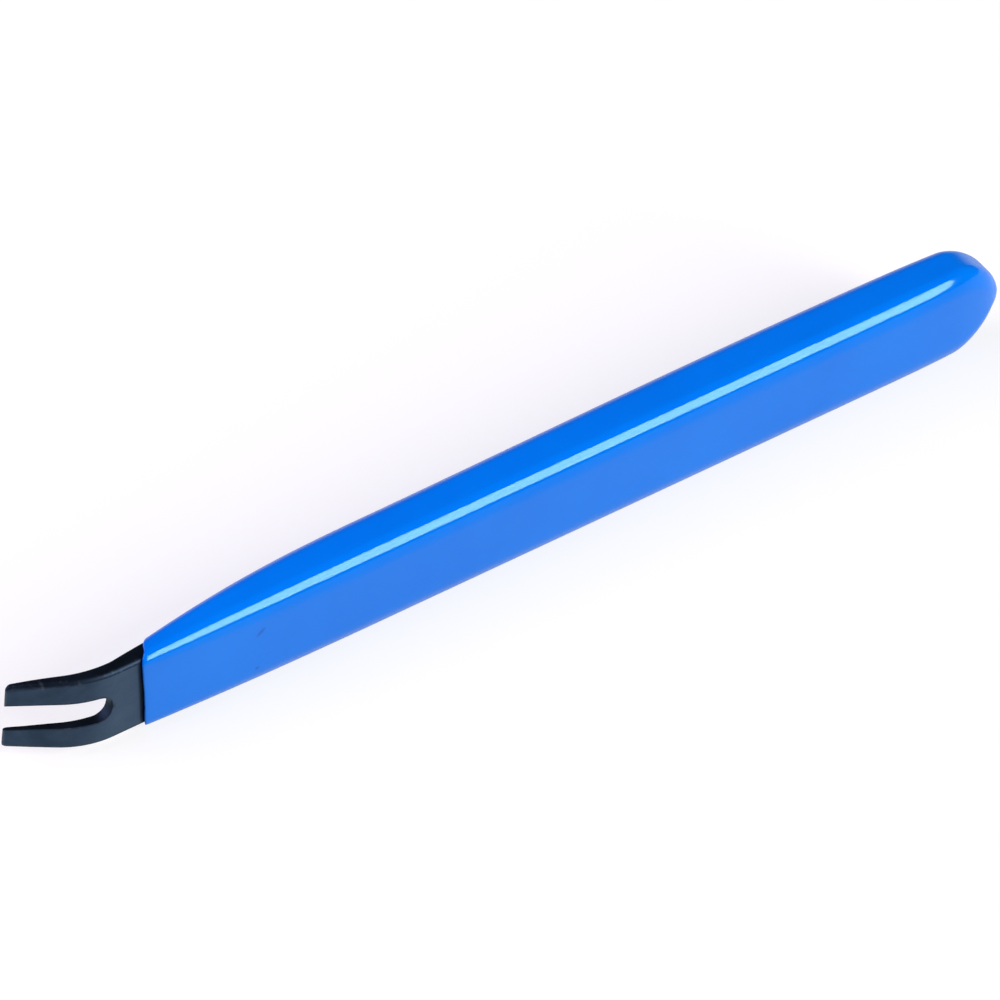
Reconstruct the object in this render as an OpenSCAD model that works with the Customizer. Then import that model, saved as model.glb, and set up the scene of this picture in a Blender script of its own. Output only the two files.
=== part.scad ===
// Trim removal tool: a forged steel bar with a bent two-tine fork,
// dipped in plastic from the neck to the far end to make the grip.
// It stands on its narrow lower side, fork toward -X, flat front toward -Y.

/* [Fork] */
// Width of the steel where it comes out of the grip
fork_w = 15; // [13:0.5:18]
// Width over both tines at their tips
tip_w = 13; // [12:0.2:15]
// Steel thickness at the start of the bend
neck_t = 2.45; // [2:0.05:3.4]
// Steel thickness at the outer edges of the tips
tip_t = 1.1; // [0.7:0.05:1.6]
// Straight steel showing between the grip and the bend
neck_l = 4.9; // [3:0.1:8]
// Radius of the bend on the front face
bend_r = 18; // [16:0.2:30]
// Angle that the tines are bent back
bend_angle = 30; // [18:1:44]
// Straight length of the tines past the bend
tine_l = 8.8; // [5:0.1:12]
// Width of the slot between the tines
slot_w = 5.2; // [4.4:0.1:6.4]
// Length of the slot from the tips to its round end
slot_l = 17.5; // [14:0.1:20]
// How much thinner the tines are ground beside the slot, on the back
grind = 0.65; // [0.2:0.05:0.8]
// Width of that ground slope
grind_w = 2.2; // [1:0.1:2.6]
// Rounding of the long front edges of the fork
fork_edge_r = 0.8; // [0.4:0.1:1.2]
// Rounding of the outer corners of the tips
tip_corner_r = 0.8; // [0.3:0.1:1.2]

/* [Tang] */
// Steel thickness inside the grip
tang_t = 6; // [5:0.1:8]
// Length over which the bar goes on thickening behind the grip's mouth
ramp_l = 47; // [30:1:60]
// Extra thickness in the middle of the bar, on the back
belly = 0.6; // [0:0.1:1.2]
// Rounding of the long edges of the bar
tang_edge_r = 2; // [1:0.1:2.6]

/* [Grip] */
// Length of the grip on the front face, from its mouth to its far end
grip_l = 167.5; // [140:0.5:210]
// Wall of the plastic along the grip
coat = 1.7; // [1.2:0.1:2.4]
// Wall of the plastic at the mouth
lip = 0.7; // [0.4:0.05:0.9]
// Wall of the plastic beyond the end of the bar
end_wall = 2.4; // [1.6:0.1:4]
// How far the mouth leans toward the far end, for each mm from front to back
mouth_lean = 0.8; // [0:0.05:0.9]
// How far the mouth leans toward the fork, for each mm up its width
mouth_tilt = 0.1; // [0:0.02:0.16]
// Length of the rounded far end, seen on the front face
end_l = 9.2; // [8:0.2:14]
// Length over which the far end closes from front to back
end_round = 31; // [20:1:40]
// Rounding of the long edges of the grip, from front to back
grip_edge_r = 3; // [2.4:0.1:3.4]
// Rounding of the same edges along the broad faces
grip_face_r = 4; // [3:0.1:5]

/* [Hidden] */
steps = 8;
arc_l = bend_r * bend_angle * PI / 180;
face_l = arc_l + tine_l;
tip_x = -(neck_l + bend_r * sin(bend_angle) + tine_l * cos(bend_angle));
tang_l = grip_l - end_wall;
tang_end_l = end_l - end_wall / 2;
tang_end_round = end_round - end_wall / 2;
grip_w = fork_w + 2 * coat;
mid_x = (tip_x + grip_l) / 2;
mid_y = (tang_t + belly) / 2;
slot_s = face_l - slot_l + slot_w / 2;

// Front face of the fork: place and turn at a distance from the start of the bend
function turn(s) = bend_angle * max(0, min(1, s / arc_l));
function face_x(s) = s < 0
  ? -neck_l - s
  : -neck_l - bend_r * sin(turn(s)) - max(0, s - arc_l) * cos(bend_angle);
function face_y(s) = s < 0
  ? 0
  : bend_r * (1 - cos(turn(s))) + max(0, s - arc_l) * sin(bend_angle);

// Fork thickness, with the back rounded down over the last bit of the tips
function tip_fall(s) = max(0, 1 - (face_l - s) / (0.8 * tip_t));
function fork_t(s) =
  (neck_t + (tip_t - neck_t) * pow(s / face_l, 1.6))
  * (0.4 + 0.6 * sqrt(1 - 0.96 * pow(tip_fall(s), 2)));
// Depth ground off the back beside the slot, running out where the bend starts
function ground(s) =
  min(1.5 * grind * sqrt(max(0, min(1, s / max(slot_s, slot_w / 4)))), 0.66 * fork_t(s));
// Fork width, narrowing along the tines and rounded at the corners of the tips
function corner_cut(s) = max(0, 1 - (face_l - s) / tip_corner_r);
function fork_width(s) =
  fork_w + (tip_w - fork_w) * pow(s / face_l, 2.2)
  - 2 * tip_corner_r * (1 - sqrt(1 - 0.9 * pow(corner_cut(s), 2)));

// Bar thickness from the start of the bend to the far end
function ease(u) = 1 - pow(1 - max(0, min(1, u)), 2.4);
function swell(u) = sin(180 * pow(max(0, min(1, u)), 1.3));
function bar_t(x) =
  neck_t + (tang_t - neck_t) * (1 - pow(max(0, 1 - (x + neck_l) / (ramp_l + neck_l)), 2.3))
  + belly * swell((x - ramp_l) / (tang_l - ramp_l));
function wall(x) = lip + (coat - lip) * ease(x / ramp_l);
function fade(x) = x < 0 ? 1 + x / neck_l : pow(max(0, 1 - x / ramp_l), 2);
function slant(x, p) = x + fade(x) * (mouth_lean * p[0] - mouth_tilt * p[1]);
function shut(e, l, p) = pow(1 - pow(max(0, 1 - max(e, 0.02) / l), p), 1 / p);

// One round corner of a section, then the whole section between two depths, from the middle
// of its front around, with a shallow hollow of depth g along the middle of its back
function corner(y, z, r, h, a) =
  [for (i = [0:steps]) [y + r * cos(a + 90 * i / steps), z + h * sin(a + 90 * i / steps)]];
function section(y0, y1, w, rf, hf, rb, hb, g = 0) =
  let (
    outer = min(slot_w / 2 + grind_w, 0.8 * (w / 2 - hb)),
    inner = 0.3 * outer
  )
  concat(
    [[y0, 0]],
    corner(y0 + rf, hf - w / 2, rf, hf, 180),
    corner(y1 - rb, hb - w / 2, rb, hb, 270),
    [[y1, -outer], [y1 - g, -inner], [y1 - g, inner], [y1, outer]],
    corner(y1 - rb, w / 2 - hb, rb, hb, 0),
    corner(y0 + rf, w / 2 - hf, rf, hf, 90)
  );

// Sections of the fork, the bar and the skin of the grip
function fork_ring(s) =
  let (
    t = fork_t(s),
    w = fork_width(s),
    rf = min(fork_edge_r, 0.46 * t),
    hf = fork_edge_r * (1 + 0.5 * pow(s / face_l, 4)),
    rb = min(0.5 * fork_edge_r, 0.46 * t)
  )
  [for (p = section(0, t, w, rf, hf, rb, rb, ground(s))) [
    face_x(s) + p[0] * sin(turn(s)),
    face_y(s) + p[0] * cos(turn(s)),
    p[1]
  ]];
function bar_ring(x) =
  let (
    fw = shut(tang_l - x, tang_end_l, 1.65),
    ft = shut(tang_l - x, tang_end_round, 4),
    t = bar_t(x),
    w = fork_w * fw,
    near = ease(x / ramp_l),
    rf = min(fork_edge_r + (tang_edge_r - fork_edge_r) * near, 0.46 * t) * ft,
    rb = min(fork_edge_r / 2 + (tang_edge_r - fork_edge_r / 2) * near, 0.46 * t) * ft,
    hf = min(rf / ft, 0.46 * w),
    hb = min(rb / ft, 0.46 * w),
    y0 = t / 2 * (1 - ft),
    y1 = t / 2 * (1 + ft)
  )
  [for (p = section(y0, y1, w, rf, hf, rb, hb)) [slant(x, p), p[0], p[1]]];
function skin_ring(x, c) =
  let (
    fw = shut(grip_l - x, end_l, 1.65),
    ft = shut(grip_l - x, end_round, 4),
    t = bar_t(x),
    w = (fork_w + 2 * c) * fw,
    near = ease(x / ramp_l),
    mouth_r = fork_edge_r + 1.5 * c,
    fall = fork_edge_r + 1.5 * coat,
    r = min(mouth_r + (grip_edge_r - fall) * near, 0.46 * (t + 2 * c)),
    h = min(mouth_r + (grip_face_r - fall) * near, 0.46 * w),
    y0 = t / 2 - (t / 2 + c) * ft,
    y1 = t / 2 + (t / 2 + c) * ft
  )
  [for (p = section(y0, y1, w, r * ft, h, r * ft, h)) [slant(x, p), p[0], p[1]]];

// Stations along each run, closer together where the shape turns
function dome(l, n) = [for (i = [n - 1:-1:0]) l * (1 - cos(90 * i / n))];
fork_rings = concat(
  [for (d = [0, 0.12, 0.3, 0.5, 0.8, 1.2, 1.7]) fork_ring(face_l - d)],
  [for (i = [1:4]) fork_ring(face_l - 1.7 - (tine_l - 1.7) * i / 4)],
  [for (i = [1:11]) fork_ring(arc_l * (1 - i / 12))]
);
neck_rings = [for (i = [0:2]) bar_ring(neck_l * (i / 3 - 1))];
bar_rings = concat(
  [for (i = [0:9]) bar_ring(ramp_l * i / 9)],
  [for (i = [1:12]) bar_ring(ramp_l + (tang_l - tang_end_l - ramp_l) * i / 12)],
  [for (e = dome(tang_end_l, 11)) bar_ring(tang_l - e)]
);
skin_rings = concat(
  [for (a = [0:30:90]) skin_ring(0.7 * lip * (1 - cos(a)), lip * (0.35 + 0.65 * sin(a)))],
  [for (i = [1:11]) let (x = 0.7 * lip + (ramp_l - 0.7 * lip) * i / 11) skin_ring(x, wall(x))],
  [for (i = [1:12]) skin_ring(ramp_l + (grip_l - end_l - ramp_l) * i / 12, coat)],
  [for (e = dome(end_l, 15)) skin_ring(grip_l - e, coat)]
);

function backward(v) = [for (i = [len(v) - 1:-1:0]) v[i]];

// A closed skin over a run of sections
module loft(rings) {
  n = len(rings[0]);
  last = len(rings) - 1;
  points = [for (r = rings) for (p = r) p];
  sides = [
    for (k = [0:last - 1])
      for (i = [0:n - 1])
        let (a = k * n + i, b = k * n + (i + 1) % n)
          for (f = [[a, b + n, b], [a, a + n, b + n]]) f
  ];
  first_cap = [for (i = [0:n - 1]) i];
  last_cap = [for (i = [n:-1:1]) last * n + i % n];
  polyhedron(points, concat([first_cap], sides, [last_cap]), convexity = 6);
}

// The gap between the tines, with a round end square to the steel there
module slot() {
  translate([face_x(slot_s), face_y(slot_s), 0])
    rotate([0, 0, -turn(slot_s)]) {
      rotate([90, 0, 0])
        cylinder(h = 24, d = slot_w, center = true, $fn = 64);
      translate([-slot_l - 6, -12, -slot_w / 2])
        cube([slot_l + 6, 24, slot_w]);
    }
}

module forked_blade() {
  color([0.17, 0.19, 0.22])
    translate([-mid_x, -mid_y, grip_w / 2])
      difference() {
        loft(concat(fork_rings, neck_rings, bar_rings));
        slot();
      }
}

module dipped_grip() {
  color([0.05, 0.36, 0.92])
    translate([-mid_x, -mid_y, grip_w / 2])
      loft(concat(backward(bar_rings), skin_rings));
}

forked_blade();
dipped_grip();
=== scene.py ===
import math
import bmesh
import bpy
from mathutils import Matrix, Quaternion, Vector


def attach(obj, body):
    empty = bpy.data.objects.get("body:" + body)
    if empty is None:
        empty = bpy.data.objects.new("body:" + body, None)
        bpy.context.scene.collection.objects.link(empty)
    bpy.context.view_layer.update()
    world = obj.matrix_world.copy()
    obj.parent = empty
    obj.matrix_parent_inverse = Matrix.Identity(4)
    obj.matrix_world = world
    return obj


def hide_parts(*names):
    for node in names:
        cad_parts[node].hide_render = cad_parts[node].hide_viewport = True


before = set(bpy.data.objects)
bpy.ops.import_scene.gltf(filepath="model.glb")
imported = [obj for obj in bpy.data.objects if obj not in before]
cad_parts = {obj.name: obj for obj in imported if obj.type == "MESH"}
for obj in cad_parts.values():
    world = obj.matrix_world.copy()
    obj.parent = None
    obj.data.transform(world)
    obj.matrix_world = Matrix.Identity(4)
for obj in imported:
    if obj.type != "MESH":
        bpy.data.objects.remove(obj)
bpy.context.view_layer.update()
print("frame loaded:", ", ".join(sorted(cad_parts)))

scene = bpy.context.scene
scene.view_settings.view_transform = "Standard"

# camera on a long lens, turned and rolled as the photograph is
cameraSettings = {
    "azimuth": -39.946,
    "elevation": 44.642,
    "roll": 5.608,
    "distance": 2.5,
    "lens": 572.37,
    "sensor": 36.0,
    "farClip": 40.0,
    "aim": (0.001733, 0.004854, 0.004811),
}


def placeCamera():
    c = cameraSettings
    az, el, roll = (math.radians(c[key]) for key in ("azimuth", "elevation", "roll"))
    back = Vector((math.sin(az) * math.cos(el), -math.cos(az) * math.cos(el), math.sin(el)))
    right = Vector((math.cos(az), math.sin(az), 0.0))
    up = back.cross(right)
    across = right * math.cos(roll) + up * math.sin(roll)
    upright = up * math.cos(roll) - right * math.sin(roll)
    data = bpy.data.cameras.new("camera")
    data.sensor_width = c["sensor"]
    data.lens = c["lens"]
    data.clip_end = c["farClip"]
    camera = bpy.data.objects.new("camera", data)
    turn = Matrix((across, upright, back)).transposed().to_4x4()
    camera.matrix_world = Matrix.Translation(Vector(c["aim"]) + back * c["distance"]) @ turn
    scene.collection.objects.link(camera)
    scene.camera = camera


placeCamera()
print("camera placed")

# sizes in mm, shared by the steel bar and the plastic dipped over it
barSizes = {
    "forkWidth": 15.0,
    "tipWidth": 13.0,
    "neckThick": 2.45,
    "tipThick": 1.1,
    "neckLength": 4.9,
    "bendRadius": 18.0,
    "bendAngle": 30.0,
    "tineLength": 8.8,
    "forkEdge": 0.8,
    "tipCorner": 0.8,
    "slotWidth": 5.2,
    "slotLength": 17.5,
    "grind": 0.65,
    "grindWidth": 2.2,
    "tangThick": 6.0,
    "tangEdge": 2.0,
    "rampLength": 47.0,
    "belly": 0.594,
    "midDepth": 3.3,
    "gripLength": 167.5,
    "coat": 1.7,
    "endWall": 2.4,
    "endLength": 9.2,
    "endRound": 31.0,
    "mouthLean": 0.8,
    "mouthTilt": 0.1,
    # powers of the curves along the bar
    "easePower": 2.4,
    "rampPower": 2.3,
    "bellyPower": 1.3,
    "widthPower": 1.65,
    "depthPower": 4.0,
    "roundest": 0.46,  # largest corner, as a share of its side
    "endGap": 0.02,  # the far ends close no further than this
    # stations along the tang: first one, evenly spaced ones, then by distance from its end
    "mouthInset": 2.0,
    "barSteps": 18,
    "endRun": 8.0,
    "endRests": (6.0, 4.2, 2.6, 1.4, 0.6, 0.15, 0.0),
}
mm = 0.001
bendTurn = math.radians(barSizes["bendAngle"])
arcLength = barSizes["bendRadius"] * bendTurn
faceLength = arcLength + barSizes["tineLength"]
tangLength = barSizes["gripLength"] - barSizes["endWall"]
tipX = -(barSizes["neckLength"] + barSizes["bendRadius"] * math.sin(bendTurn)
         + barSizes["tineLength"] * math.cos(bendTurn))
slotCentre = faceLength - barSizes["slotLength"] + barSizes["slotWidth"] / 2
gripWidth = barSizes["forkWidth"] + 2 * barSizes["coat"]
midX = (tipX + barSizes["gripLength"]) / 2


def toFrame(x, y, z):  # from the bar's own mm to the frame's metres
    return Vector(((x - midX) * mm, (y - barSizes["midDepth"]) * mm, (z + gripWidth / 2) * mm))


def clamp01(u):
    return max(0.0, min(1.0, u))


def quarterTurn(i, steps):
    return math.radians(90 * i / steps)


def easeOut(u):
    return 1 - (1 - clamp01(u)) ** barSizes["easePower"]


def shut(rest, length, power):  # how far a rounded end is still open
    closed = max(0.0, 1 - max(rest, barSizes["endGap"]) / length)
    return (1 - closed ** power) ** (1 / power)


def barThick(x):
    s = barSizes
    ramp = clamp01((x + s["neckLength"]) / (s["rampLength"] + s["neckLength"]))
    gain = (s["tangThick"] - s["neckThick"]) * (1 - (1 - ramp) ** s["rampPower"])
    along = clamp01((x - s["rampLength"]) / (tangLength - s["rampLength"]))
    return s["neckThick"] + gain + s["belly"] * math.sin(math.pi * along ** s["bellyPower"])


def leanAt(x, y, z):  # the mouth of the grip isn't cut square
    if x < 0:
        fade = max(0.0, 1 + x / barSizes["neckLength"])
    else:
        fade = max(0.0, 1 - x / barSizes["rampLength"]) ** 2
    return fade * (barSizes["mouthLean"] * y - barSizes["mouthTilt"] * z)


def barStations():  # from just inside the mouth to the far end of the bar
    s = barSizes
    straight = tangLength - s["endRun"] - s["mouthInset"]
    even = [s["mouthInset"] + straight * i / s["barSteps"] for i in range(s["barSteps"] + 1)]
    return even + [tangLength - rest for rest in s["endRests"]]


def barSection(x):  # depths, width and corner sizes of the bar in and just before the grip
    s = barSizes
    openWide = shut(tangLength - x, s["endLength"] - s["endWall"] / 2, s["widthPower"])
    openDeep = shut(tangLength - x, s["endRound"] - s["endWall"] / 2, s["depthPower"])
    thick = barThick(x)
    width = s["forkWidth"] * openWide
    near = easeOut(x / s["rampLength"])
    corners = []
    for edge in (s["forkEdge"], s["forkEdge"] / 2):
        size = min(edge + (s["tangEdge"] - edge) * near, s["roundest"] * thick)
        corners.append((size * openDeep, min(size, s["roundest"] * width)))
    return thick / 2 * (1 - openDeep), thick / 2 * (1 + openDeep), width, corners[0], corners[1]


def addPiece(name, bm):
    bmesh.ops.recalc_face_normals(bm, faces=bm.faces)
    mesh = bpy.data.meshes.new(name)
    bm.to_mesh(mesh)
    bm.free()
    mesh.shade_smooth()
    piece = bpy.data.objects.new(name, mesh)
    scene.collection.objects.link(piece)
    return piece


# plastic dipped over the bar: thin at the mouth, a rounded blunt far end
gripSettings = {
    "lip": 0.7,
    "lipRound": 0.49,
    "lipStart": 0.15,  # share of the lip's wall that its first ring has
    "edgeDepth": 3.0,
    "edgeFace": 4.0,
    "edgeGain": 1.5,  # how much of the wall is added to the corners
    # points along each corner, broad face and narrow side of a section
    "arcSteps": 16,
    "faceSteps": 8,
    "sideSteps": 4,
    # rings along the lip, the part that thickens, the straight part and the far end
    "lipRings": 7,
    "rampRings": 48,
    "rampCrowd": 1.35,
    "straightRings": 40,
    "endRings": 32,
    # the mouth line's hollows: how deep, then their reach from front to back and across
    "corner": (0.35, 0.5, 0.7),
    "frontEdge": (0.1, 1.2, 1.5),
    "frontDip": (0.2, 1.0, 5.5),
    "topDip": (0.3, 0.8, 0.8),
    "frontEdgeDrop": 0.9,
    "frontDipDrop": 1.0,
    "topDipShift": 0.45,
    # and its ripple: how deep, turn for each mm across, start, turn for each mm of depth
    "ripple": (0.04, 1.7, 0.6, 0.9),
    "waveFade": 1.6,
}


def roundSection(y0, y1, width, front, rear):
    g = gripSettings
    half = width / 2
    corners = (
        (y0 + front[0], front[1] - half, 180, front),
        (y1 - rear[0], rear[1] - half, 270, rear),
        (y1 - rear[0], half - rear[1], 0, rear),
        (y0 + front[0], half - front[1], 90, front),
    )
    arcs = []
    for y, z, start, (depthR, faceR) in corners:
        turns = [math.radians(start + 90 * i / g["arcSteps"]) for i in range(g["arcSteps"] + 1)]
        arcs.append([(y + depthR * math.cos(a), z + faceR * math.sin(a)) for a in turns])
    # a few more points along the straight runs, so that the shading stays even
    points = []
    for k, steps in enumerate((g["sideSteps"], g["faceSteps"]) * 2):
        points += arcs[k]
        end = arcs[k][-1]
        ahead = arcs[(k + 1) % 4][0]
        for j in range(1, steps):
            f = j / steps
            points.append((end[0] + (ahead[0] - end[0]) * f, end[1] + (ahead[1] - end[1]) * f))
    return points


def mouthWave(x, y, z, width, front, back):  # the dipped edge is a little uneven
    g = gripSettings
    top = width / 2
    hollows = (  # which one, its middle from front to back, its middle across
        ("corner", back, top),
        ("frontEdge", front, top - g["frontEdgeDrop"]),
        ("frontDip", front, -g["frontDipDrop"]),
        ("topDip", (front + back) / 2 - g["topDipShift"], top),
    )
    wave = 0.0
    for name, midY, midZ in hollows:
        deep, reachY, reachZ = g[name]
        wave += deep * math.exp(-((y - midY) / reachY) ** 2 - ((z - midZ) / reachZ) ** 2)
    deep, across, start, through = g["ripple"]
    wave += deep * math.sin(across * z + start) * math.cos(through * y)
    return wave * math.exp(-max(0.0, x) / g["waveFade"])


def gripRing(x, wall):
    s = barSizes
    g = gripSettings
    openWide = shut(s["gripLength"] - x, s["endLength"], s["widthPower"])
    openDeep = shut(s["gripLength"] - x, s["endRound"], s["depthPower"])
    thick = barThick(x)
    width = (s["forkWidth"] + 2 * wall) * openWide
    near = easeOut(x / s["rampLength"])
    mouthR = s["forkEdge"] + g["edgeGain"] * wall
    fall = s["forkEdge"] + g["edgeGain"] * s["coat"]
    depthR = min(mouthR + (g["edgeDepth"] - fall) * near, s["roundest"] * (thick + 2 * wall))
    faceR = min(mouthR + (g["edgeFace"] - fall) * near, s["roundest"] * width)
    y0 = thick / 2 - (thick / 2 + wall) * openDeep
    y1 = thick / 2 + (thick / 2 + wall) * openDeep
    corner = (depthR * openDeep, faceR)
    ring = []
    for y, z in roundSection(y0, y1, width, corner, corner):
        shift = leanAt(x, y, z) + mouthWave(x, y, z, width, y0, y1)
        ring.append(toFrame(x + shift, y, z))
    return ring


def cavityRing(x):  # the inside follows the bar
    return [toFrame(x + leanAt(x, y, z), y, z) for y, z in roundSection(*barSection(x))]


def makeGrip():
    s = barSizes
    g = gripSettings
    lip = g["lip"]
    start = g["lipRound"]
    rings = [cavityRing(x) for x in reversed(barStations())]
    for i in range(g["lipRings"] + 1):  # round lip
        a = quarterTurn(i, g["lipRings"])
        wall = lip * (g["lipStart"] + (1 - g["lipStart"]) * math.sin(a))
        rings.append(gripRing(start * (1 - math.cos(a)), wall))
    for i in range(1, g["rampRings"] + 1):
        x = start + (s["rampLength"] - start) * (i / g["rampRings"]) ** g["rampCrowd"]
        rings.append(gripRing(x, lip + (s["coat"] - lip) * easeOut(x / s["rampLength"])))
    straight = s["gripLength"] - s["endLength"] - s["rampLength"]
    for i in range(1, g["straightRings"] + 1):
        rings.append(gripRing(s["rampLength"] + straight * i / g["straightRings"], s["coat"]))
    # the last ring but one would crowd the last
    for i in (*range(g["endRings"] - 1, 1, -1), 0):
        rest = s["endLength"] * (1 - math.cos(quarterTurn(i, g["endRings"])))
        rings.append(gripRing(s["gripLength"] - rest, s["coat"]))
    bm = bmesh.new()
    rows = [[bm.verts.new(p) for p in ring] for ring in rings]
    count = len(rows[0])
    for p, q in zip(rows, rows[1:]):
        for i in range(count):
            j = (i + 1) % count
            bm.faces.new((p[i], p[j], q[j], q[i]))
    bm.faces.new(list(reversed(rows[0])))
    bm.faces.new(rows[-1])
    return addPiece("dippedGrip", bm)


grip = makeGrip()
print("grip lofted,", len(grip.data.polygons), "faces")

# forged steel: bent two-tine fork, neck and the tang inside the grip
bladeSettings = {
    # powers of the curves along the fork
    "thinPower": 1.6,
    "narrowPower": 2.2,
    "edgePower": 4,
    # the tips: the back rounds down, the outer corners are cut, the front edge widens
    "tipRun": 0.8,
    "tipLeft": 0.4,
    "tipRound": 0.96,
    "cornerRound": 0.9,
    "edgeWiden": 0.5,
    "rearEdge": 0.5,
    # the slope ground into the back beside the slot
    "groundGain": 1.5,
    "groundMost": 0.66,
    "slopeMost": 0.8,
    "slopeLeast": 0.05,
    "deepestAt": 0.3,
    # points across half the front, around an edge, across the back and down the slope
    "faceSteps": 9,
    "arcSteps": 7,
    "backSteps": 4,
    "slopeSteps": 6,
    # stations: by distance from the tips, then to the slot's round end, round it, to the grip
    "tipStations": (0.0, 0.04, 0.1, 0.18, 0.28, 0.42, 0.58, 0.8, 1.1, 1.5, 2.0, 2.6, 3.3, 4.1,
                    5.0, 6.0, 7.0),
    "tineSteps": 10,
    "slotSteps": 16,
    "neckSteps": 12,
    "weld": 1e-7,
    # edges sharper than this, and nearer the tips than this place, get a bevel
    "sharpTurn": 0.75,
    "sharpBefore": -0.07,
    "edgeBevel": 0.11,
    "bevelSteps": 2,
    "bevelProfile": 0.5,
    "shadeWeight": 60,
    # bend for each mm where the edge wear and the painted edge shade start and where they are full
    "wearShadeFrom": 0.35,
    "wearShadeFull": 1.3,
    "wearShadeGap": 0.02,
}


def bladeSection(s):
    b = barSizes
    k = bladeSettings
    if s < 0:
        return barSection(-b["neckLength"] - s) + (0.0,)
    along = s / faceLength
    fall = max(0.0, 1 - (faceLength - s) / (k["tipRun"] * b["tipThick"]))
    thick = b["neckThick"] + (b["tipThick"] - b["neckThick"]) * along ** k["thinPower"]
    thick *= k["tipLeft"] + (1 - k["tipLeft"]) * math.sqrt(1 - k["tipRound"] * fall ** 2)
    cut = max(0.0, 1 - (faceLength - s) / b["tipCorner"])
    width = b["forkWidth"] + (b["tipWidth"] - b["forkWidth"]) * along ** k["narrowPower"]
    width -= 2 * b["tipCorner"] * (1 - math.sqrt(1 - k["cornerRound"] * cut ** 2))
    front = min(b["forkEdge"], b["roundest"] * thick)
    rear = min(k["rearEdge"] * b["forkEdge"], b["roundest"] * thick)
    frontFace = b["forkEdge"] * (1 + k["edgeWiden"] * along ** k["edgePower"])
    ground = k["groundGain"] * b["grind"] * math.sqrt(clamp01(s / slotCentre))
    ground = min(ground, k["groundMost"] * thick)
    return 0.0, thick, width, (front, frontFace), (rear, rear), ground


def faceAt(s):  # place and turn of the front face at a distance from the start of the bend
    b = barSizes
    turn = bendTurn * clamp01(s / arcLength)
    if s < 0:
        return -b["neckLength"] - s, 0.0, 0.0
    past = max(0.0, s - arcLength)
    x = -b["neckLength"] - b["bendRadius"] * math.sin(turn) - past * math.cos(bendTurn)
    y = b["bendRadius"] * (1 - math.cos(turn)) + past * math.sin(bendTurn)
    return x, y, turn


def halfPath(s, inner, side):
    b = barSizes
    k = bladeSettings
    y0, y1, width, (frontDepth, frontFace), (rearDepth, rearFace), ground = bladeSection(s)
    half = width / 2
    frontZ = half - frontFace
    rearZ = half - rearFace
    turns = [quarterTurn(i, k["arcSteps"]) for i in range(k["arcSteps"] + 1)]
    path = [(y0, inner + (frontZ - inner) * i / k["faceSteps"]) for i in range(k["faceSteps"])]
    for a in turns:
        path.append((y0 + frontDepth * (1 - math.cos(a)), frontZ + frontFace * math.sin(a)))
    path.append(((y0 + frontDepth + y1 - rearDepth) / 2, half))
    for a in turns:
        path.append((y1 - rearDepth + rearDepth * math.sin(a), rearZ + rearFace * math.cos(a)))
    # the back is ground thinner toward the slot
    slope = min(b["slotWidth"] / 2 + b["grindWidth"], k["slopeMost"] * rearZ)
    slope = max(slope, inner + k["slopeLeast"])
    deepest = k["deepestAt"] * slope
    for i in range(1, k["backSteps"] + 1):
        path.append((y1, rearZ + (slope - rearZ) * i / k["backSteps"]))
    for i in range(1, k["slopeSteps"] + 1):
        z = slope + (inner - slope) * i / k["slopeSteps"]
        path.append((y1 - ground * clamp01((slope - z) / (slope - deepest)), z))
    x, y, turn = faceAt(s)
    if s < 0:
        return [toFrame(x + leanAt(x, h, side * z), h, side * z) for h, z in path]
    return [toFrame(x + h * math.sin(turn), y + h * math.cos(turn), side * z) for h, z in path]


def bladeStations():  # distance along the face, half width of the slot there
    b = barSizes
    k = bladeSettings
    radius = b["slotWidth"] / 2
    stations = [(faceLength - d, radius) for d in k["tipStations"]]
    start = faceLength - k["tipStations"][-1]
    for i in range(1, k["tineSteps"] + 1):
        stations.append((start - (start - slotCentre) * i / k["tineSteps"], radius))
    for i in range(1, k["slotSteps"]):
        a = quarterTurn(i, k["slotSteps"])
        stations.append((slotCentre - radius * math.sin(a), radius * math.cos(a)))
    low = slotCentre - radius
    stations.append((low, 0.0))
    slotEnd = len(stations) - 1
    run = low + b["neckLength"] + b["mouthInset"]
    stations += [(low - run * i / k["neckSteps"], 0.0) for i in range(1, k["neckSteps"] + 1)]
    stations += [(-b["neckLength"] - x, 0.0) for x in barStations()[1:]]
    return stations, slotEnd


def markEdges(mesh):  # curvature of the mesh per mm, kept as an attribute for the edge wear and the painted edge shade
    k = bladeSettings
    bm = bmesh.new()
    bm.from_mesh(mesh)
    bm.verts.ensure_lookup_table()
    values = [0.0] * len(bm.verts)
    for edge in bm.edges:
        if len(edge.link_faces) != 2:
            continue
        a, b = edge.link_faces
        gap = (a.calc_center_median() - b.calc_center_median()).length / mm
        bend = abs(edge.calc_face_angle_signed(0.0)) / max(gap, k["wearShadeGap"])
        wearAndShade = clamp01((bend - k["wearShadeFrom"]) / (k["wearShadeFull"] - k["wearShadeFrom"]))
        for vert in edge.verts:
            values[vert.index] = max(values[vert.index], wearAndShade)
    bm.free()
    layer = mesh.attributes.new("edgeTurn", "FLOAT", "POINT")
    layer.data.foreach_set("value", values)


def isSharp(edge):
    if len(edge.link_faces) != 2 or edge.calc_face_angle(0.0) <= bladeSettings["sharpTurn"]:
        return False
    return (edge.verts[0].co.x + edge.verts[1].co.x) / 2 < bladeSettings["sharpBefore"]


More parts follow.
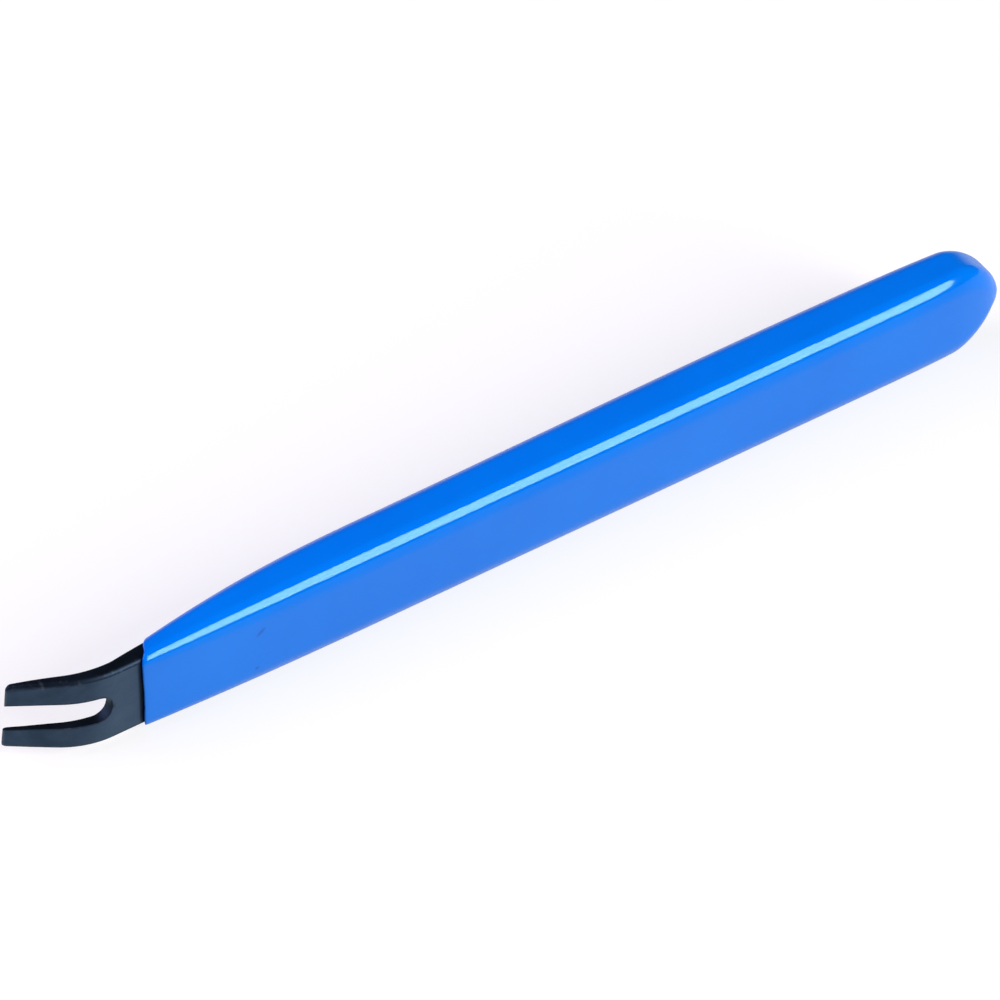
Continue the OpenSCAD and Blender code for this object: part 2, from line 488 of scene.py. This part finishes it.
def makeBlade():
    k = bladeSettings
    stations, slotEnd = bladeStations()
    bm = bmesh.new()
    for side in (1, -1):
        rows = [[bm.verts.new(p) for p in halfPath(s, inner, side)] for s, inner in stations]
        for n, (p, q) in enumerate(zip(rows, rows[1:])):
            for i in range(len(p) - 1):
                bm.faces.new((p[i], p[i + 1], q[i + 1], q[i]))
            if n < slotEnd:  # wall of the slot
                bm.faces.new((p[-1], p[0], q[0], q[-1]))
        bm.faces.new(rows[0])  # blunt end of the tine
        bm.faces.new(rows[-1])
    bmesh.ops.remove_doubles(bm, verts=bm.verts, dist=k["weld"])
    bmesh.ops.recalc_face_normals(bm, faces=bm.faces)
    sharp = [edge for edge in bm.edges if isSharp(edge)]
    bmesh.ops.bevel(bm, geom=sharp, offset=k["edgeBevel"] * mm, segments=k["bevelSteps"],
                    profile=k["bevelProfile"], affect="EDGES", clamp_overlap=True)
    piece = addPiece("forkedBlade", bm)
    markEdges(piece.data)
    weighted = piece.modifiers.new("evenShading", "WEIGHTED_NORMAL")
    weighted.weight = k["shadeWeight"]
    return piece


blade = makeBlade()
print("blade lofted,", len(blade.data.polygons), "faces")


def addNode(tree, kind, x, y, **values):
    node = tree.nodes.new(kind)
    node.location = (x, y)
    for key, value in values.items():
        setattr(node, key, value)
    return node


def feed(tree, value, socket):  # an output is joined, a number or colour is set
    if isinstance(value, bpy.types.NodeSocket):
        tree.links.new(value, socket)
    elif socket.type == "RGBA":
        socket.default_value = (*value, 1.0)
    else:
        socket.default_value = value


def mixColour(tree, x, y, factor, first, second):
    node = addNode(tree, "ShaderNodeMix", x, y, data_type="RGBA")
    feed(tree, factor, node.inputs["Factor"])
    feed(tree, first, node.inputs["A"])
    feed(tree, second, node.inputs["B"])
    return node.outputs["Result"]


def mathNode(tree, x, y, operation, *values, clamp=False):
    node = addNode(tree, "ShaderNodeMath", x, y, operation=operation, use_clamp=clamp)
    for value, socket in zip(values, node.inputs):
        feed(tree, value, socket)
    return node.outputs["Value"]


def vectorNode(tree, x, y, operation, *values):
    node = addNode(tree, "ShaderNodeVectorMath", x, y, operation=operation)
    for value, socket in zip(values, node.inputs):
        feed(tree, value, socket)
    return node.outputs["Value" if operation in ("DOT_PRODUCT", "LENGTH") else "Vector"]


def mapRange(tree, x, y, value, start, end, low=0.0, high=1.0, smooth=True):
    kind = "SMOOTHSTEP" if smooth else "LINEAR"
    node = addNode(tree, "ShaderNodeMapRange", x, y, interpolation_type=kind)
    feed(tree, value, node.inputs["Value"])
    feed(tree, start, node.inputs["From Min"])
    feed(tree, end, node.inputs["From Max"])
    feed(tree, low, node.inputs["To Min"])
    feed(tree, high, node.inputs["To Max"])
    return node.outputs["Result"]


def spinNode(tree, x, y, vector, angle):  # turns about the axis from front to back
    node = addNode(tree, "ShaderNodeVectorRotate", x, y, rotation_type="Y_AXIS")
    feed(tree, vector, node.inputs["Vector"])
    feed(tree, angle, node.inputs["Angle"])
    return node.outputs["Vector"]


def newGroup(name, inputs, output):
    tree = bpy.data.node_groups.new(name, "ShaderNodeTree")
    for label, value in inputs.items():
        kind = "NodeSocketVector" if value is None else "NodeSocketFloat"
        socket = tree.interface.new_socket(name=label, in_out="INPUT", socket_type=kind)
        if value is not None:
            socket.default_value = value
    tree.interface.new_socket(name=output, in_out="OUTPUT", socket_type="NodeSocketFloat")
    source = addNode(tree, "NodeGroupInput", -900, 0)
    target = addNode(tree, "NodeGroupOutput", 700, 0)
    return tree, source.outputs, target.inputs[output]


# slow drift of tone, roughness or height over a surface
driftSettings = {"roughness": 0.55, "from": 0.3, "to": 0.7}


def makeDrift():
    d = driftSettings
    inputs = {"Vector": None, "Scale": 100.0, "Detail": 3.0, "Low": 0.0, "High": 1.0}
    tree, given, target = newGroup("toneDrift", inputs, "Value")
    noise = addNode(tree, "ShaderNodeTexNoise", -500, 0)
    for label in ("Vector", "Scale", "Detail"):
        feed(tree, given[label], noise.inputs[label])
    feed(tree, d["roughness"], noise.inputs["Roughness"])
    spread = mapRange(tree, -100, 0, noise.outputs["Fac"], d["from"], d["to"],
                      given["Low"], given["High"], smooth=False)
    feed(tree, spread, target)
    return tree


# fine lines left by handling, long in one direction
hairSettings = {
    "stretch": (60.0, 300.0, 2600.0),
    "scale": 1.0,
    "detail": 2.0,
    "sparse": 0.8,
    "spread": 0.2,
    "full": 0.82,
}


def makeHairlines():
    h = hairSettings
    inputs = {"Vector": None, "Spin": 0.0, "Density": 0.5}
    tree, given, target = newGroup("hairLines", inputs, "Mask")
    turned = spinNode(tree, -700, 0, given["Vector"], given["Spin"])
    stretched = vectorNode(tree, -500, 0, "MULTIPLY", turned, h["stretch"])
    noise = addNode(tree, "ShaderNodeTexNoise", -300, 0)
    feed(tree, stretched, noise.inputs["Vector"])
    feed(tree, h["scale"], noise.inputs["Scale"])
    feed(tree, h["detail"], noise.inputs["Detail"])
    share = mathNode(tree, -300, -300, "MULTIPLY", given["Density"], h["spread"])
    start = mathNode(tree, -100, -200, "SUBTRACT", h["sparse"], share)
    lines = mapRange(tree, 200, 0, noise.outputs["Fac"], start, h["full"], smooth=False)
    feed(tree, lines, target)
    return tree


# one short knock or rub at a place on the surface
scuffSettings = {"rim": 1.0, "core": 0.25}


def makeScuff():
    inputs = {"Vector": None, "Place": None, "Spin": 0.0, "Reach": None}
    tree, given, target = newGroup("scuffMark", inputs, "Mask")
    away = vectorNode(tree, -700, 0, "SUBTRACT", given["Vector"], given["Place"])
    turned = spinNode(tree, -500, 0, away, given["Spin"])
    sized = vectorNode(tree, -300, 0, "DIVIDE", turned, given["Reach"])
    length = vectorNode(tree, -100, 0, "LENGTH", sized)
    feed(tree, mapRange(tree, 200, 0, length, scuffSettings["rim"], scuffSettings["core"]), target)
    return tree


toneDrift = makeDrift()
hairLines = makeHairlines()
scuffMark = makeScuff()
print("shader groups made")


def newMaterial(name):
    material = bpy.data.materials.new(name)
    material.use_nodes = True
    tree = material.node_tree
    tree.nodes.clear()
    return material, tree, addNode(tree, "ShaderNodeOutputMaterial", 900, 0).inputs["Surface"]


def newSurface(name):
    material, tree, target = newMaterial(name)
    shader = addNode(tree, "ShaderNodeBsdfPrincipled", 600, 0)
    feed(tree, shader.outputs["BSDF"], target)
    coords = addNode(tree, "ShaderNodeTexCoord", -1200, 0)
    return material, tree, shader.inputs, coords.outputs


def useGroup(tree, group, x, y, vector, **values):
    node = addNode(tree, "ShaderNodeGroup", x, y, node_tree=group)
    feed(tree, vector, node.inputs["Vector"])
    for key, value in values.items():
        node.inputs[key].default_value = value
    return node.outputs[0]


def useMarks(tree, x, y, vector, marks, strength):  # each mark's own mask
    masks = []
    for i, (place, spin, reach) in enumerate(marks):
        mark = useGroup(tree, scuffMark, x, y - 200 * i, vector,
                        Place=place, Spin=spin, Reach=reach)
        masks.append(mathNode(tree, x + 300, y - 200 * i, "MULTIPLY", mark, strength))
    return masks


def addBump(tree, x, y, height, strength, distance):
    bump = addNode(tree, "ShaderNodeBump", x, y)
    feed(tree, strength, bump.inputs["Strength"])
    feed(tree, distance, bump.inputs["Distance"])
    feed(tree, height, bump.inputs["Height"])
    return bump.outputs["Normal"]


# glossy dipped plastic
plasticSettings = {
    "deepBlue": (0.0, 0.179, 0.815),
    "paleBlue": (0.0, 0.204, 0.875),
    "tone": {"Scale": 45.0, "Detail": 4.0},
    "markBlue": (0.0, 0.07, 0.42),
    "markStrength": 0.55,
    "marks": (  # place, spin, reach
        ((-0.0518, -0.005, 0.0123), 0.72, (0.0014, 0.004, 0.0006)),
        ((-0.0520, -0.005, 0.0045), 0.3, (0.0006, 0.004, 0.0004)),
    ),
    "sheen": (0.48, 1.0, 1.0),
    "refraction": 1.35,
    "smear": {"Scale": 140.0, "Detail": 3.0, "Low": 0.05, "High": 0.09},
    "lines": {"Spin": 0.35, "Density": 0.35},
    "lineRough": 0.08,
    "grazingFrom": 0.55,
    "roughGrazing": 0.36,
    "ripple": {"Scale": 160.0, "Detail": 1.0},
    "rippleStrength": 0.05,
    "rippleDepth": 0.0003,
}


def makePlastic():
    p = plasticSettings
    material, tree, surface, coords = newSurface("dippedPlastic")
    here = coords["Object"]
    tone = useGroup(tree, toneDrift, -900, 400, here, **p["tone"])
    colour = mixColour(tree, -300, 400, tone, p["deepBlue"], p["paleBlue"])
    for i, mark in enumerate(useMarks(tree, -900, 150, here, p["marks"], p["markStrength"])):
        colour = mixColour(tree, -100 + 150 * i, 400, mark, colour, p["markBlue"])
    feed(tree, colour, surface["Base Color"])
    smear = useGroup(tree, toneDrift, -900, -300, here, **p["smear"])
    lines = useGroup(tree, hairLines, -900, -500, here, **p["lines"])
    lines = mathNode(tree, -600, -500, "MULTIPLY", lines, p["lineRough"])
    rough = mathNode(tree, -300, -350, "ADD", smear, lines, clamp=True)
    # soft plastic blurs what it mirrors at a low angle
    grazing = addNode(tree, "ShaderNodeLayerWeight", -600, -200).outputs["Facing"]
    blur = mapRange(tree, -300, -150, grazing, p["grazingFrom"], 1.0, high=p["roughGrazing"])
    rough = mathNode(tree, -100, -250, "ADD", rough, blur, clamp=True)
    feed(tree, rough, surface["Roughness"])
    ripple = useGroup(tree, toneDrift, -900, -750, here, **p["ripple"])
    bump = addBump(tree, 200, -600, ripple, p["rippleStrength"], p["rippleDepth"])
    feed(tree, bump, surface["Normal"])
    feed(tree, p["refraction"], surface["IOR"])
    feed(tree, p["sheen"], surface["Specular Tint"])
    return material


# blackened forged steel, rubbed brighter along its edges
steelSettings = {
    "black": (0.021, 0.040, 0.068),
    "grey": (0.036, 0.060, 0.096),
    "tone": {"Scale": 220.0, "Detail": 6.0},
    # painted sheen on the neck's front, and where along the bar it fades in
    "paintedSheen": (0.060, 0.098, 0.155),
    "sheenFrom": -0.0850,
    "sheenTo": -0.0775,
    "sheenMost": 0.6,
    # painted shade on the narrow sides, the round edges and beside the lip
    "paintedShade": (0.016, 0.026, 0.043),
    "broadFrom": 0.5,
    "broadTo": 0.8,
    "edgeShade": -0.95,
    # painted shadow beside the lip: its line across the bar and where it fades
    "lipShadowAcross": (1.0, -0.8, 0.1),
    "lipShadowFrom": -0.0704,
    "lipShadowTo": -0.0698,
    "lipShadowLeft": 0.1,
    "rubbed": (0.12, 0.15, 0.18),
    "broken": {"Scale": 700.0, "Detail": 4.0, "Low": -0.5, "High": 0.35},
    "lines": {"Spin": -0.4, "Density": 0.5},
    "lineStrength": 0.1,
    "nickStrength": 0.4,
    "nicks": (  # place, spin, reach
        ((-0.0895, 0.0012, 0.0160), 0.1, (0.0004, 0.0012, 0.0014)),
        ((-0.0882, 0.0030, 0.0062), 0.5, (0.0005, 0.0008, 0.0005)),
        ((-0.0946, 0.0, 0.0092), 0.0, (0.0005, 0.02, 0.03)),
    ),
    "edgeTint": (0.9, 1.0, 1.0),
    "rough": {"Scale": 400.0, "Detail": 4.0, "Low": 0.44, "High": 0.56},
    "rubbedSmooth": 0.1,
    "grain": {"Scale": 1500.0, "Detail": 5.0},
    "grainStrength": 0.16,
    "grainDepth": 0.0001,
}


def makeSteel():
    p = steelSettings
    material, tree, surface, coords = newSurface("blackenedSteel")
    here = coords["Object"]
    tone = useGroup(tree, toneDrift, -900, 500, here, **p["tone"])
    colour = mixColour(tree, -300, 500, tone, p["black"], p["grey"])
    edgeWearAndShade = addNode(tree, "ShaderNodeAttribute", -1200, 250, attribute_name="edgeTurn")
    edgeWearAndShade = edgeWearAndShade.outputs["Fac"]
    # painted sheen: paler toward the grip, standing in for the brighter light that the neck's
    # front mirrors there
    along = addNode(tree, "ShaderNodeSeparateXYZ", -900, 900)
    feed(tree, here, along.inputs["Vector"])
    sheenNearGrip = mapRange(tree, -600, 900, along.outputs["X"], p["sheenFrom"], p["sheenTo"],
                        high=p["sheenMost"])
    colour = mixColour(tree, -100, 700, sheenNearGrip, colour, p["paintedSheen"])
    # painted shade: blacker on the narrow sides, in the slot and along the round edges, which
    # stands in for the darker light they mirror
    facing = addNode(tree, "ShaderNodeSeparateXYZ", -900, 700)
    feed(tree, coords["Normal"], facing.inputs["Vector"])
    broad = mathNode(tree, -600, 700, "ABSOLUTE", facing.outputs["Y"])
    broad = mapRange(tree, -400, 700, broad, p["broadFrom"], p["broadTo"])
    # painted shade along the round edges, from their curvature
    flat = mathNode(tree, -600, 600, "MULTIPLY_ADD", edgeWearAndShade, p["edgeShade"], 1.0)
    flat = mathNode(tree, -200, 600, "MULTIPLY", broad, flat, clamp=True)
    # painted shadow: a dark line on the steel where the plastic starts, standing in for the lip's
    # shade, which leans as the mouth does
    across = vectorNode(tree, -900, 1100, "DOT_PRODUCT", here, p["lipShadowAcross"])
    lipShadow = mapRange(tree, -600, 1100, across, p["lipShadowFrom"], p["lipShadowTo"], 1.0, p["lipShadowLeft"])
    flat = mathNode(tree, -100, 550, "MULTIPLY", flat, lipShadow, clamp=True)
    colour = mixColour(tree, 50, 600, flat, p["paintedShade"], colour)
    # bare metal where it is rubbed or nicked
    broken = useGroup(tree, toneDrift, -900, 300, here, **p["broken"])
    rub = mathNode(tree, -600, 300, "MULTIPLY", edgeWearAndShade, broken, clamp=True)
    lines = useGroup(tree, hairLines, -900, 100, here, **p["lines"])
    lines = mathNode(tree, -600, 100, "MULTIPLY", lines, p["lineStrength"])
    bare = mathNode(tree, -450, 200, "MAXIMUM", rub, lines, clamp=True)
    for i, nick in enumerate(useMarks(tree, -900, -100, here, p["nicks"], p["nickStrength"])):
        bare = mathNode(tree, -300 + 150 * i, 200, "MAXIMUM", bare, nick, clamp=True)
    feed(tree, mixColour(tree, 200, 400, bare, colour, p["rubbed"]), surface["Base Color"])
    rough = useGroup(tree, toneDrift, -900, -600, here, **p["rough"])
    eased = mathNode(tree, -300, -500, "MULTIPLY", bare, p["rubbedSmooth"])
    rough = mathNode(tree, -100, -500, "SUBTRACT", rough, eased, clamp=True)
    feed(tree, rough, surface["Roughness"])
    grain = useGroup(tree, toneDrift, -900, -850, here, **p["grain"])
    bump = addBump(tree, 200, -700, grain, p["grainStrength"], p["grainDepth"])
    feed(tree, bump, surface["Normal"])
    feed(tree, 1.0, surface["Metallic"])
    feed(tree, p["edgeTint"], surface["Specular Tint"])
    return material


grip.data.materials.append(makePlastic())
blade.data.materials.append(makeSteel())
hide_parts("dipped_grip")
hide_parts("forked_blade")
for piece, slotName in ((grip, "dipped_plastic"), (blade, "blackened_steel")):
    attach(piece, "root")
print("materials set")

# wide pale floor that turns up into a backdrop
floorSettings = {
    "front": -6.0,
    "side": 6.0,
    "back": 2.8,
    "cove": 0.6,
    "coveSteps": 12,
    "wall": 1.6,
    "drop": 0.00003,
    "albedo": 0.36,
    "lift": 0.70,
    "liftHigh": 0.05,
    "fade": (0.05, 1.5),
}


def makePaleFloor():
    f = floorSettings
    material, tree, target = newMaterial("paleFloor")
    both = addNode(tree, "ShaderNodeAddShader", 400, 0)
    matt = addNode(tree, "ShaderNodeBsdfDiffuse", 100, 100)
    feed(tree, (f["albedo"],) * 3, matt.inputs["Color"])
    glow = addNode(tree, "ShaderNodeEmission", 100, -100)
    path = addNode(tree, "ShaderNodeLightPath", -600, -100).outputs
    seen = mathNode(tree, -300, -100, "MAXIMUM", path["Is Camera Ray"], path["Is Glossy Ray"])
    seen = mathNode(tree, -150, -100, "MAXIMUM", seen, path["Is Transmission Ray"])
    # painted shade: the backdrop's glow gets darker with height
    place = addNode(tree, "ShaderNodeNewGeometry", -900, -300)
    height = addNode(tree, "ShaderNodeSeparateXYZ", -700, -300)
    feed(tree, place.outputs["Position"], height.inputs["Vector"])
    lift = mapRange(tree, -500, -300, height.outputs["Z"], *f["fade"], f["lift"], f["liftHigh"])
    feed(tree, mathNode(tree, 0, -100, "MULTIPLY", seen, lift), glow.inputs["Strength"])
    feed(tree, matt.outputs["BSDF"], both.inputs[0])
    feed(tree, glow.outputs["Emission"], both.inputs[1])
    feed(tree, both.outputs["Shader"], target)
    return material


def makeFloor():
    f = floorSettings
    profile = [(f["front"], 0.0), (f["back"], 0.0)]
    for i in range(1, f["coveSteps"] + 1):
        a = quarterTurn(i, f["coveSteps"])
        profile.append((f["back"] + f["cove"] * math.sin(a), f["cove"] * (1 - math.cos(a))))
    profile.append((f["back"] + f["cove"], f["cove"] + f["wall"]))
    bm = bmesh.new()
    rows = []
    for y, z in profile:
        rows.append([bm.verts.new((side * f["side"], y, z - f["drop"])) for side in (-1, 1)])
    for p, q in zip(rows, rows[1:]):
        bm.faces.new((p[0], p[1], q[1], q[0]))
    floor = addPiece("studioFloor", bm)
    floor.data.materials.append(makePaleFloor())


makeFloor()

# tall softbox in front to the right, weak one behind to the left
lampSettings = {
    "key": {
        "place": (1.366, -2.268, 1.453),
        "roll": -17.7,
        "width": 0.79,
        "height": 2.0,
        "power": 100.0,
        "tint": (1.0, 1.0, 1.0),
    },
    "rear": {
        "place": (-0.72, 0.38, 0.60),
        "roll": 0.0,
        "width": 1.0,
        "height": 1.0,
        "power": 10.8,
        "tint": (0.86, 0.72, 1.0),
    },
    "aim": (0.01, 0.0, 0.012),
    "surround": 0.05,
}


def makeLamp(name):
    p = lampSettings[name]
    data = bpy.data.lights.new(name + "Softbox", "AREA")
    data.shape = "RECTANGLE"
    data.size = p["width"]
    data.size_y = p["height"]
    data.energy = p["power"]
    data.color = p["tint"]
    lamp = bpy.data.objects.new(name + "Softbox", data)
    lamp.location = p["place"]
    facing = Vector(p["place"]) - Vector(lampSettings["aim"])
    roll = Quaternion((0.0, 0.0, 1.0), math.radians(p["roll"]))
    lamp.rotation_euler = (facing.to_track_quat("Z", "Y") @ roll).to_euler()
    scene.collection.objects.link(lamp)


def makeSurround():
    world = bpy.data.worlds.new("surround")
    world.use_nodes = True
    sky = world.node_tree.nodes["Background"]
    sky.inputs["Color"].default_value = (1.0, 1.0, 1.0, 1.0)
    sky.inputs["Strength"].default_value = lampSettings["surround"]
    scene.world = world


for lampName in ("key", "rear"):
    makeLamp(lampName)
makeSurround()
print("floor and light set")
